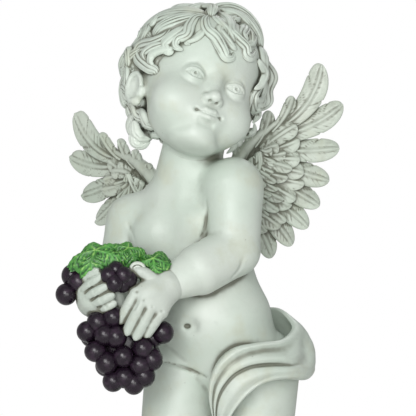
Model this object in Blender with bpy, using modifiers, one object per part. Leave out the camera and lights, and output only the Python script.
"""Angel garden statue: a winged child with grapes and vine leaves, cast in one with its low round base.

The casting is blocked out from closed volumes (rounded cones, ellipsoids, feathers, curls of hair), fused with
voxel remeshes and joined to the turned base. Metres, +Z up, origin in the middle of the base's underside. The
statue is seen from the front when looking along +Y.
"""

import math

import bmesh
import bpy
import numpy as np
from mathutils import Matrix, Vector

# Driving dimensions, in metres
FIGURE_HEIGHT = 0.584
BASE_DIAMETER = 0.200
BASE_HEIGHT = 0.034
BASE_MOULDING_DROP = 0.010
BASE_MOULDING_STEP = 0.007
GRAPE_DIAMETER = 0.0215
CLOTH_THICKNESS = 0.007
LEAF_THICKNESS = 0.005
FEATHER_THICKNESS = 0.008
FOOT_SINK = 0.002

# The pose is drawn on a figure 584 units tall, in units from the middle of the base's top
FIGURE_UNITS = 584
UNIT = FIGURE_HEIGHT / FIGURE_UNITS

SKIN_VOXEL = 3.0 * UNIT
CARVING_VOXEL = 1.5 * UNIT
SKIN_SMOOTHING = 6
FIGURE_TRIANGLES = 9000
BASE_SEGMENTS = 64

# How far the belly, the chest and the head are turned about Z, positive towards the figure's left
BELLY_YAW = math.radians(-30)
CHEST_YAW = math.radians(-20)
CHEST_ROLL = math.radians(14)
HEAD_YAW = math.radians(24)
HEAD_PITCH = math.radians(-13)
HEAD_ROLL = math.radians(21)
WING_SWEEP = math.radians(22)
LEFT_WING_ROLL = math.radians(11)
RIGHT_WING_ROLL = math.radians(7)

SKULL = (-17, -6, 511)
CHEST = (-30, 4, 366)
LEFT_WING_ROOT = (10, 32, 391)
RIGHT_WING_ROOT = (-46, 52, 382)

LEFT_SHOULDER = (18, -30, 403)
LEFT_ELBOW = (19, -44, 341)
LEFT_FOREARM = (-15, -66, 323)
LEFT_WRIST = (-45, -82, 308)
LEFT_PALM = (-60, -88, 296)
RIGHT_SHOULDER = (-82, 24, 370)
RIGHT_ELBOW = (-96, 14, 304)
RIGHT_WRIST = (-115, -44, 288)
RIGHT_PALM = (-122, -68, 296)

LEFT_HIP = (42, 2, 222)
LEFT_KNEE = (38, -10, 122)
LEFT_ANKLE = (30, 14, 32)
RIGHT_HIP = (-30, 2, 225)
RIGHT_KNEE = (-44, -20, 124)
RIGHT_ANKLE = (-44, 8, 32)


def clear_scene():
    """Removes every object of the startup scene."""
    for item in list(bpy.data.objects):
        bpy.data.objects.remove(item, do_unlink=True)


def collection(name, rendered=True):
    """A new collection under the scene's own."""
    made = bpy.data.collections.new(name)
    made.hide_render = not rendered
    bpy.context.scene.collection.children.link(made)
    return made


def placed(points):
    """Points given in figure units, as metres above the base."""
    return np.asarray(points, float) * UNIT + (0, 0, BASE_HEIGHT)


def turn(yaw, pitch=0.0, roll=0.0):
    """The turn of a head or chest as a 3 by 3 array: roll about Y, then pitch about X, then yaw about Z."""
    matrix = Matrix.Rotation(yaw, 3, "Z") @ Matrix.Rotation(pitch, 3, "X") @ Matrix.Rotation(roll, 3, "Y")
    return np.array(matrix)


HEAD_TURN = turn(HEAD_YAW, HEAD_PITCH, HEAD_ROLL)
CHEST_TURN = turn(CHEST_YAW, 0, -CHEST_ROLL)
BELLY_TURN = turn(BELLY_YAW)


def mesh_object(name, form, home):
    """An object from a bmesh that is given in figure units."""
    mesh = bpy.data.meshes.new(name)
    form.to_mesh(mesh)
    form.free()
    points = np.empty(len(mesh.vertices) * 3)
    mesh.vertices.foreach_get("co", points)
    mesh.vertices.foreach_set("co", placed(points.reshape(-1, 3)).ravel())
    mesh.update()
    made = bpy.data.objects.new(name, mesh)
    home.objects.link(made)
    return made


def shaped_sphere(name, home, rings, segments, shape):
    """A UV sphere whose points are moved by shape(along, turn): along runs 0 to 1 from pole to pole."""
    form = bmesh.new()
    bmesh.ops.create_uvsphere(form, u_segments=segments, v_segments=rings, radius=1.0)
    start = np.array([vertex.co for vertex in form.verts])
    along = np.arccos(np.clip(start[:, 2], -1, 1)) / math.pi
    around = np.arctan2(start[:, 1], start[:, 0])
    for vertex, point in zip(form.verts, shape(along, around)):
        vertex.co = point
    bmesh.ops.recalc_face_normals(form, faces=form.faces)
    return mesh_object(name, form, home)


def ellipsoid(name, home, centre, radii, turned=None, detail=24):
    """A sphere stretched to three radii and turned."""
    turned = np.eye(3) if turned is None else turned
    form = bmesh.new()
    bmesh.ops.create_uvsphere(form, u_segments=detail, v_segments=detail // 2 + 2, radius=1.0)
    stretched = np.array([vertex.co for vertex in form.verts]) * radii
    for vertex, point in zip(form.verts, stretched @ turned.T + centre):
        vertex.co = point
    return mesh_object(name, form, home)


def rounded_cone(name, home, start, end, start_radius, end_radius, detail=3):
    """The hull of two balls: one length of a limb."""
    form = bmesh.new()
    for centre, radius in ((start, start_radius), (end, end_radius)):
        bmesh.ops.create_icosphere(
            form, subdivisions=detail, radius=radius, matrix=Matrix.Translation(Vector(centre))
        )
    hull = bmesh.ops.convex_hull(form, input=form.verts)
    inner = {item for item in hull["geom_interior"] if isinstance(item, bmesh.types.BMVert)}
    bmesh.ops.delete(form, geom=list(inner), context="VERTS")
    bmesh.ops.recalc_face_normals(form, faces=form.faces)
    return mesh_object(name, form, home)


def limb(name, home, points, radii, detail=3):
    """Rounded cones end to end through the points."""
    for i in range(len(points) - 1):
        rounded_cone(f"{name}_{i}", home, points[i], points[i + 1], radii[i], radii[i + 1], detail)


def spline(points, steps):
    """A Catmull-Rom curve through the points, read at each step from 0 to 1."""
    points = np.asarray(points, float)
    padded = np.vstack([2 * points[0] - points[1], points, 2 * points[-1] - points[-2]])
    place = np.clip(steps, 0, 1) * (len(points) - 1)
    span = np.minimum(place.astype(int), len(points) - 2)
    t = (place - span)[:, None]
    a, b, c, d = (padded[span + i] for i in range(4))
    return 0.5 * (2 * b + (c - a) * t + (2 * a - 5 * b + 4 * c - d) * t**2 + (3 * b - a - 3 * c + d) * t**3)


def fused(name, home, parts, voxel, smoothing):
    """Joins closed objects into one skin: a voxel remesh, then smoothing of the creases.

    Where the skin only just touches itself along an edge, a small ball is put in and the skin drawn again.
    """
    form = bmesh.new()
    for part in parts:
        form.from_mesh(part.data)
    touching = True
    while touching:
        mesh = bpy.data.meshes.new(name)
        form.to_mesh(mesh)
        made = bpy.data.objects.new(name, mesh)
        home.objects.link(made)
        remesh = made.modifiers.new("one skin", "REMESH")
        remesh.mode = "VOXEL"
        remesh.voxel_size = voxel
        if smoothing:
            smooth = made.modifiers.new("soft creases", "SMOOTH")
            smooth.factor = 0.5
            smooth.iterations = smoothing
        made = baked(made, home)
        touching = touching_places(made.data)
        for place in touching:
            ball = Matrix.Translation(place)
            bmesh.ops.create_icosphere(form, subdivisions=2, radius=2 * voxel, matrix=ball)
    form.free()
    return made


def touching_places(mesh):
    """The middles of the edges that more than two faces share."""
    form = bmesh.new()
    form.from_mesh(mesh)
    crowded = [edge for edge in form.edges if len(edge.link_faces) > 2]
    places = [(edge.verts[0].co + edge.verts[1].co) / 2 for edge in crowded]
    form.free()
    return places


def baked(made, home):
    """The object as its modifiers leave it, as a plain mesh, in the place of the old one."""
    graph = bpy.context.evaluated_depsgraph_get()
    mesh = bpy.data.meshes.new_from_object(made.evaluated_get(graph))
    name = made.name
    bpy.data.objects.remove(made, do_unlink=True)
    kept = bpy.data.objects.new(name, mesh)
    home.objects.link(kept)
    return kept


def body_volumes(home):
    """Torso, neck, limbs and feet: what the smoothing turns into one soft skin."""
    ellipsoid("pelvis", home, (8, 6, 232), (68, 54, 46), BELLY_TURN)
    ellipsoid("belly", home, (-1, -8, 272), (60, 58, 54), BELLY_TURN)
    ellipsoid("ribs", home, (-13, 2, 322), (55, 48, 50), BELLY_TURN)
    ellipsoid("chest", home, CHEST, (59, 41, 44), CHEST_TURN)
    for side, lateral in (("left", 26), ("right", -26)):
        breast = np.array(CHEST) + CHEST_TURN @ (lateral, -22, -2)
        ellipsoid(f"{side}_breast", home, breast, (25, 19, 22), CHEST_TURN)
        buttock = np.array((7, 6, 212)) + BELLY_TURN @ (lateral * 1.15, 28, 0)
        ellipsoid(f"{side}_buttock", home, buttock, (34, 33, 37), BELLY_TURN)
    rounded_cone("neck", home, (-30, 6, 398), (-20, -2, 452), 35, 31)
    rounded_cone("left_trapezius", home, (-27, 10, 404), LEFT_SHOULDER, 26, 24)
    rounded_cone("right_trapezius", home, (-32, 12, 398), RIGHT_SHOULDER, 25, 22)
    limb("left_arm", home, (LEFT_SHOULDER, LEFT_ELBOW, LEFT_FOREARM, LEFT_WRIST), (31, 26, 26, 17))
    limb("right_arm", home, (RIGHT_SHOULDER, RIGHT_ELBOW, RIGHT_WRIST), (28, 24, 16))
    for side, hip, knee, girth in (("left", LEFT_HIP, LEFT_KNEE, 44), ("right", RIGHT_HIP, RIGHT_KNEE, 41)):
        thigh = np.array(hip) * 0.45 + np.array(knee) * 0.55 + (0, 2, 0)
        limb(f"{side}_leg", home, (hip, thigh, knee), (girth, girth - 4, 29))
    for side, knee, ankle, out in (("left", LEFT_KNEE, LEFT_ANKLE, 7), ("right", RIGHT_KNEE, RIGHT_ANKLE, -7)):
        calf = np.array(knee) * 0.55 + np.array(ankle) * 0.45 + (0, 9, 0)
        limb(f"{side}_shin", home, (knee, calf, ankle), (27, 28, 17))
        heel = np.array(ankle) * (1, 1, 0) + (0, 4, 13)
        ball = heel + (out, -46, -4)
        limb(f"{side}_foot", home, (heel, ball), (15, 12))
        ellipsoid(f"{side}_instep", home, heel + (out * 0.5, -22, 3), (16, 26, 13))


def in_head(point):
    """A point of the head, given about the skull's middle in a head that looks along -Y."""
    return np.asarray(point, float) @ HEAD_TURN.T + SKULL


def head_volumes(home):
    """Skull, cheeks, chin and the main forms of a calm child's face."""
    ellipsoid("cranium", home, in_head((0, 8, 8)), (60, 66, 59), HEAD_TURN)
    ellipsoid("face", home, in_head((0, -18, -26)), (53, 42, 54), HEAD_TURN)
    ellipsoid("jaw", home, in_head((0, -20, -54)), (42, 35, 27), HEAD_TURN)
    ellipsoid("chin", home, in_head((0, -48, -70)), (15, 12, 12), HEAD_TURN)
    for side in (-1, 1):
        ellipsoid(f"cheek_{side + 1}", home, in_head((side * 28, -36, -44)), (24, 21, 24), HEAD_TURN)


def face_carving(home):
    """Nose, lips, eyes and ears, laid over the smoothed head."""
    limb("nose", home, (in_head((0, -58, -16)), in_head((0, -66, -38))), (4.5, 7))
    ellipsoid("upper_lip", home, in_head((0, -59, -54)), (12, 6, 3.8), HEAD_TURN)
    ellipsoid("lower_lip", home, in_head((0, -57, -60)), (10, 6, 4.2), HEAD_TURN)
    for side in (-1, 1):
        tag = "left" if side > 0 else "right"
        ellipsoid(f"{tag}_nostril", home, in_head((side * 7, -60, -40)), (5, 5.5, 4.4), HEAD_TURN)
        ellipsoid(f"{tag}_eye", home, in_head((side * 22, -49, -19)), (11, 9, 8), HEAD_TURN)
        ellipsoid(f"{tag}_ear", home, in_head((side * 59, 4, -24)), (7, 12, 18), HEAD_TURN)


def lock_path(azimuth, elevation, heading, length, curl, steps):
    """Centre, side and outward arrays of a lock of hair that starts on the scalp and winds into a curl.

    It steps over an ellipsoid a little larger than the skull. Its heading, from straight down, turns by curl
    towards its end, faster and faster, which makes the comma shape.
    """
    radii = np.array((65.0, 70.0, 66.0))
    middle = np.array((0.0, 10.0, 5.0))
    direction = np.array(
        (
            math.sin(azimuth) * math.cos(elevation),
            -math.cos(azimuth) * math.cos(elevation),
            math.sin(elevation),
        )
    )
    centres, sides, outs = [], [], []
    for step in steps:
        out = direction / radii
        out /= np.linalg.norm(out)
        down = -np.array((0, 0, 1.0)) + out * out[2]
        down /= max(np.linalg.norm(down), 1e-6)
        across = np.cross(out, down)
        angle = heading + curl * step**1.8
        ahead = down * math.cos(angle) + across * math.sin(angle)
        lift = 1 + 0.07 * math.sin(math.pi * min(step * 1.1, 1.0))
        centres.append(middle + direction * radii * lift)
        sides.append(np.cross(out, ahead))
        outs.append(out)
        stride = length / len(steps) * (1 - 0.45 * step)
        direction = direction * radii + ahead * stride
        direction = direction / radii
        direction /= np.linalg.norm(direction)
    return np.array(centres), np.array(sides), np.array(outs)


# Rows of locks: elevation, number, half of the front that the row leaves bare, and length
HAIR_ROWS = (
    (82, 5, 0, 62),
    (64, 9, 0, 56),
    (38, 12, 8, 44),
    (24, 9, 58, 54),
    (0, 9, 66, 52),
    (-24, 8, 72, 48),
    (-46, 6, 90, 36),
)


def hair(home):
    """Overlapping comma-shaped locks in rows from the crown down to the nape, bare over the face."""
    made = 0
    for row, (elevation, count, bare, length) in enumerate(HAIR_ROWS):
        for i in range(count):
            share = (i + 0.5) / count
            azimuth = math.radians(bare + share * (360 - 2 * bare))
            hand = -1 if share < 0.5 else 1
            heading = hand * math.radians(42 - 22 * math.cos(3 * azimuth + row))
            curl = -hand * math.radians(190 + 40 * math.sin(2.3 * i + row))
            lock(f"lock_{made}", home, azimuth, math.radians(elevation), heading, length, curl)
            made += 1


def lock(name, home, azimuth, elevation, heading, length, curl, half_width=11.5, half_depth=8.5):
    """One lock: a flattened tube along its path, full near the root and closing at the tip."""
    steps = np.linspace(0, 1, 15)
    centres, sides, outs = lock_path(azimuth, elevation, heading, length, curl, steps)

    def shape(along, around):
        centre = spline(centres, along)
        side = spline(sides, along)
        out = spline(outs, along)
        fullness = np.sin(np.pi * np.clip(along, 0, 1) ** 0.75) ** 0.5
        width = (half_width * fullness * (1 - 0.45 * along))[:, None]
        depth = (half_depth * fullness * (1 - 0.2 * along))[:, None]
        local = centre + side * width * np.cos(around)[:, None] + out * depth * np.sin(around)[:, None]
        return local @ HEAD_TURN.T + SKULL

    shaped_sphere(name, home, 14, 8, shape)


def wing_point(side, out, up, front):
    """A point of a wing, given outwards, upwards and towards the front from between the shoulder blades."""
    root = LEFT_WING_ROOT if side > 0 else RIGHT_WING_ROOT
    roll = LEFT_WING_ROLL if side > 0 else -RIGHT_WING_ROLL
    lateral = np.array((math.cos(CHEST_YAW), math.sin(CHEST_YAW), 0)) * side
    back = np.array((-math.sin(CHEST_YAW), math.cos(CHEST_YAW), 0))
    outward = lateral * math.cos(WING_SWEEP) + back * math.sin(WING_SWEEP)
    facing = lateral * math.sin(WING_SWEEP) - back * math.cos(WING_SWEEP)
    out, up, front = (np.asarray(v, float)[..., None] for v in (out, up, front))
    rolled_out = out * math.cos(roll) - up * math.sin(roll)
    rolled_up = out * math.sin(roll) + up * math.cos(roll)
    return root + outward * rolled_out + facing * front + np.array((0, 0, 1.0)) * rolled_up


def feather(name, home, side, root, tip, half_width, bend, front, thickness):
    """A round-ended feather from root to tip in the wing's plane, bowed sideways by bend."""
    root, tip = np.array(root, float), np.array(tip, float)
    ahead = tip - root
    length = np.linalg.norm(ahead)
    ahead /= length
    across = np.array((-ahead[1], ahead[0]))

    def shape(along, around):
        run = (1 - np.cos(np.pi * along)) / 2
        bow = bend * 4 * run * (1 - run)
        width = half_width * np.minimum(1.0, 0.62 + 0.5 * run) * np.sin(np.pi * along) ** 0.6
        sway = bow + width * np.cos(around)
        plane = root + ahead * (run * length)[:, None] + across * sway[:, None]
        depth = front + thickness / 2 * np.sin(around) * np.sin(np.pi * along) ** 0.5
        return wing_point(side, plane[:, 0], plane[:, 1], depth)

    shaped_sphere(name, home, 10, 12, shape)


def wing(home, side):
    """Flight feathers in a fan, two rows of coverts over them, and the arm along the leading edge."""
    tag = "left" if side > 0 else "right"
    fan = np.array((20.0, 10.0))
    thick = FEATHER_THICKNESS / UNIT
    arm = ((4, -6), (14, 26), (38, 52), (74, 70))
    count = 8
    for i in range(count):
        share = i / (count - 1)
        angle = math.radians(46 - 124 * share)
        reach = 78 + 70 * math.exp(-((i / 2.1) ** 1.8))
        tip = fan + reach * np.array((math.cos(angle), math.sin(angle)))
        root = spline(arm, np.array([1 - 0.86 * share]))[0] * 0.9
        bend = 11 * (1 - share) ** 2 - 6 * share
        feather(f"{tag}_flight_{i}", home, side, root, tip, 14 - 2 * share, -bend, -1.0 * (i % 2), thick)
    for row, (number, reach, half, front) in enumerate(((7, 0.62, 11, 4.5), (6, 0.42, 9, 8))):
        for i in range(number):
            share = (i + 0.5) / number
            angle = math.radians(52 - 130 * share)
            far = reach * (80 + 34 * math.exp(-((i / 2.2) ** 1.6)))
            tip = fan + far * np.array((math.cos(angle), math.sin(angle)))
            root = spline(arm, np.array([1 - 0.8 * share]))[0] * 0.75
            feather(f"{tag}_covert_{row}_{i}", home, side, root, tip, half, 0, front, thick * 0.8)
    radii = (15, 14, 12, 8)
    spots = [wing_point(side, out, up, 0) for out, up in arm]
    limb(f"{tag}_wing_arm", home, spots, radii, 2)
    edge = (((26, 30), (30, 62)), ((38, 44), (56, 78)), ((58, 60), (84, 88)))
    for i, (root, tip) in enumerate(edge):
        feather(f"{tag}_edge_{i}", home, side, root, tip, 9, -2, 2, thick)


def hand(name, home, wrist, palm, tips, knuckles, radius=4.5):
    """A chubby hand: a rounded palm, and fingers bent once between knuckle and tip."""
    limb(f"{name}_palm", home, (wrist, palm), (16, 13), 2)
    for i, (knuckle, tip) in enumerate(zip(knuckles, tips)):
        middle = (np.array(knuckle) + np.array(tip)) / 2 + (0, -4, 0)
        limb(f"{name}_finger_{i}", home, (knuckle, middle, tip), (radius + 0.6, radius, radius - 0.8), 2)


def hands(home):
    """The left hand lies on the bunch, its fingers down; the right one closes round the stalk."""
    hand(
        "left_hand",
        home,
        LEFT_WRIST,
        LEFT_PALM,
        ((-91, -88, 275), (-86, -93, 264), (-77, -94, 258), (-65, -92, 259)),
        ((-79, -92, 298), (-73, -97, 292), (-65, -98, 286), (-56, -95, 283)),
    )
    limb("left_thumb", home, (LEFT_WRIST, (-70, -86, 314), (-80, -84, 322)), (9, 6.5, 5), 2)
    hand(
        "right_hand",
        home,
        RIGHT_WRIST,
        RIGHT_PALM,
        ((-115, -95, 326), (-110, -100, 317), (-106, -101, 308), (-101, -100, 298)),
        ((-128, -80, 314), (-131, -84, 304), (-129, -85, 293), (-122, -83, 284)),
    )
    limb("right_thumb", home, (RIGHT_WRIST, (-112, -80, 280), (-99, -96, 290)), (9, 6, 4.4), 2)


def toes(home):
    """Five round toes on each foot."""
    for side, ankle, out in (("left", LEFT_ANKLE, 7), ("right", RIGHT_ANKLE, -7)):
        inward = -1 if side == "left" else 1
        front = np.array(ankle) * (1, 1, 0) + (out, -42, 0)
        for i in range(5):
            radius = 6.6 - 0.75 * i if i else 7.6
            place = front + (inward * (10 - 6 * i), -14 + 1.4 * i + 0.9 * i * i * 0.5, radius - 1)
            limb(f"{side}_toe_{i}", home, (place + (0, 12, 2), place), (radius, radius), 2)


def bunch(home):
    """Grapes in rings that narrow downwards, and the few above the right hand."""
    radius = GRAPE_DIAMETER / 2 / UNIT
    # Rows of the bunch: height, ring's half width, ring's half depth, number and the ring's middle
    rows = (
        (270, 26, 16, 5, (-92, -70)),
        (258, 35, 20, 8, (-90, -70)),
        (242, 30, 20, 7, (-90, -70)),
        (228, 24, 17, 6, (-88, -68)),
        (215, 15, 12, 4, (-86, -68)),
    )
    for row, (height, wide, deep, count, (x, y)) in enumerate(rows):
        for i in range(count):
            angle = math.tau * (i + 0.5 * (row % 2)) / count
            sway = 3 * math.sin(2.7 * i + row)
            centre = (x + wide * math.cos(angle), y + deep * math.sin(angle), height + sway)
            ellipsoid(f"grape_{row}_{i}", home, centre, (radius,) * 3, detail=12)
        ellipsoid(f"grape_core_{row}", home, (x, y, height), (wide * 0.8, deep * 0.8, 12), detail=12)
    above = (
        (-106, -96, 317),
        (-98, -100, 310),
        (-90, -96, 322),
        (-85, -94, 315),
        (-141, -72, 315),
        (-133, -78, 311),
        (-145, -78, 299),
    )
    for i, centre in enumerate(above):
        ellipsoid(f"grape_above_{i}", home, centre, (radius,) * 3, detail=12)
    limb("stalk", home, ((-100, -78, 330), (-96, -80, 300), (-92, -72, 268)), (8, 9, 12), 2)


def leaves(home):
    """Three lobed vine leaves, lying over the hands."""
    thick = LEAF_THICKNESS / UNIT
    sheets = (
        ("left_leaf", (-126, -86, 339), (28, 20), turn(0.2, math.radians(34), math.radians(-14))),
        ("middle_leaf", (-92, -80, 341), (22, 18), turn(-0.3, math.radians(38), math.radians(4))),
        ("right_leaf", (-66, -84, 334), (25, 18), turn(-0.2, math.radians(40), math.radians(10))),
    )
    for name, centre, (wide, deep), turned in sheets:

        def shape(along, around, centre=centre, wide=wide, deep=deep, turned=turned):
            spread = np.sin(np.pi * along)
            lobes = 1 + 0.13 * np.cos(5 * around) * spread
            x = wide * spread * lobes * np.cos(around)
            y = deep * spread * lobes * np.sin(around)
            fold = 3.5 * np.cos(5 * around) * spread**2 - 5 * spread**2
            z = fold + thick / 2 * np.sign(0.5 - along) * (1 - spread**6)
            return np.stack([x, y, z], axis=1) @ turned.T + centre

        shaped_sphere(name, home, 12, 30, shape)


# The loincloth's upper and lower hems, from the right buttock round the left hip to the end between the legs
UPPER_HEM = (
    (-56, 38, 236),
    (-10, 66, 250),
    (48, 54, 266),
    (74, 12, 272),
    (66, -26, 262),
    (38, -54, 252),
    (10, -66, 240),
    (-5, -62, 212),
    (-8, -46, 172),
)
LOWER_HEM = (
    (-60, 34, 206),
    (-14, 68, 196),
    (52, 60, 204),
    (86, 8, 218),
    (80, -26, 213),
    (60, -50, 214),
    (38, -56, 204),
    (20, -52, 176),
    (12, -42, 140),
)


def loincloth(home):
    """A gathered band of cloth between two hems, with rolled edges and folds that run along it."""
    thick = CLOTH_THICKNESS / UNIT

    def shape(along, around):
        upper, lower = spline(UPPER_HEM, along), spline(LOWER_HEM, along)
        across = np.cos(around)
        point = (upper + lower) / 2 + (upper - lower) / 2 * across[:, None] * np.sin(np.pi * along)[:, None] ** 0.3
        ahead = spline(UPPER_HEM, along + 0.02) - spline(UPPER_HEM, along - 0.02)
        out = np.cross(ahead, upper - lower)
        out /= np.maximum(np.linalg.norm(out, axis=1), 1e-6)[:, None]
        folds = 2.6 * np.cos(3.2 * np.pi * across + 2.5 * along)
        return point + out * (folds + thick * np.sin(around) * np.sin(np.pi * along) ** 0.4)[:, None]

    shaped_sphere("loincloth", home, 40, 28, shape)
    for name, hem, radius in (("upper_roll", UPPER_HEM, 5.0), ("lower_roll", LOWER_HEM, 4.5)):
        points = spline(hem, np.linspace(0, 1, 22))
        limb(name, home, points, np.full(22, radius), 2)
    swag = ((68, 34, 262), (85, 16, 256), (92, 2, 236), (88, -12, 218), (76, -24, 210))
    limb("hip_swag", home, spline(swag, np.linspace(0, 1, 8)), np.full(8, 8.0), 2)


def figure(home):
    """The figure as one closed skin: a smoothed body, with the carving fused on."""
    blocks = collection("body blocks", rendered=False)
    carving = collection("carving blocks", rendered=False)
    body_volumes(blocks)
    head_volumes(blocks)
    body = fused("body", carving, blocks.objects, SKIN_VOXEL, SKIN_SMOOTHING)
    face_carving(carving)
    hair(carving)
    hands(carving)
    toes(carving)
    for side in (1, -1):
        wing(carving, side)
    bunch(carving)
    leaves(carving)
    loincloth(carving)
    whole = fused("angel_statue", home, carving.objects, CARVING_VOXEL, 1)
    for block in (*blocks.objects, *carving.objects):
        bpy.data.objects.remove(block, do_unlink=True)
    return whole


def keep_largest_island(made):
    """Drops every separate shell but the largest, so that no specks or sealed hollows are left."""
    form = bmesh.new()
    form.from_mesh(made.data)
    left = set(form.verts)
    islands = []
    while left:
        island = {left.pop()}
        edge = list(island)
        while edge:
            reached = {link.other_vert(vert) for vert in edge for link in vert.link_edges}
            edge = [vert for vert in reached if vert in left]
            left.difference_update(edge)
            island.update(edge)
        islands.append(island)
    islands.sort(key=len)
    for island in islands[:-1]:
        bmesh.ops.delete(form, geom=list(island), context="VERTS")
    form.to_mesh(made.data)
    form.free()


def lightened(made, home, triangles):
    """The object collapsed to about that many triangles, closest where the carving is."""
    made.data.calc_loop_triangles()
    collapse = made.modifiers.new("lighter", "DECIMATE")
    collapse.ratio = triangles / len(made.data.loop_triangles)
    return baked(made, home)


def base(home):
    """The low round base, turned: a flat underside, an upright edge and a stepped moulding under the top."""
    radius = BASE_DIAMETER / 2
    shoulder = BASE_HEIGHT - BASE_MOULDING_DROP
    profile = (
        (0, 0, BASE_HEIGHT),
        (radius - BASE_MOULDING_STEP, 0, BASE_HEIGHT),
        (radius - BASE_MOULDING_STEP * 0.4, 0, BASE_HEIGHT - BASE_MOULDING_DROP * 0.25),
        (radius - BASE_MOULDING_STEP * 0.4, 0, BASE_HEIGHT - BASE_MOULDING_DROP * 0.7),
        (radius - BASE_MOULDING_STEP, 0, shoulder),
        (radius, 0, shoulder - BASE_MOULDING_STEP * 0.6),
        (radius, 0, 0),
        (0, 0, 0),
    )
    mesh = bpy.data.meshes.new("round_base")
    mesh.from_pydata(profile, [(i, i + 1) for i in range(len(profile) - 1)], [])
    made = bpy.data.objects.new("round_base", mesh)
    home.objects.link(made)
    screw = made.modifiers.new("turned", "SCREW")
    screw.steps = screw.render_steps = BASE_SEGMENTS
    screw.use_merge_vertices = True
    screw.merge_threshold = 0.0001
    return baked(made, home)


def cast_stone():
    """Pale ivory cast stone with a green-grey cast."""
    material = bpy.data.materials.new("cast_stone")
    material.use_nodes = True
    shader = material.node_tree.nodes["Principled BSDF"]
    shader.inputs["Base Color"].default_value = (0.72, 0.76, 0.68, 1)
    shader.inputs["Roughness"].default_value = 0.7
    shader.inputs["Metallic"].default_value = 0.0
    return material


def main():
    """Builds the statue as one casting."""
    clear_scene()
    home = collection("angel garden statue")
    tools = collection("tools", rendered=False)
    statue = figure(home)
    keep_largest_island(statue)
    statue = lightened(statue, home, FIGURE_TRIANGLES)
    plinth = base(tools)
    plinth.display_type = "WIRE"
    plinth.hide_render = True
    statue.location.z = -FOOT_SINK
    union = statue.modifiers.new("on its base", "BOOLEAN")
    union.operation = "UNION"
    union.object = plinth
    statue.data.materials.append(cast_stone())
    statue.data.shade_smooth()


main()
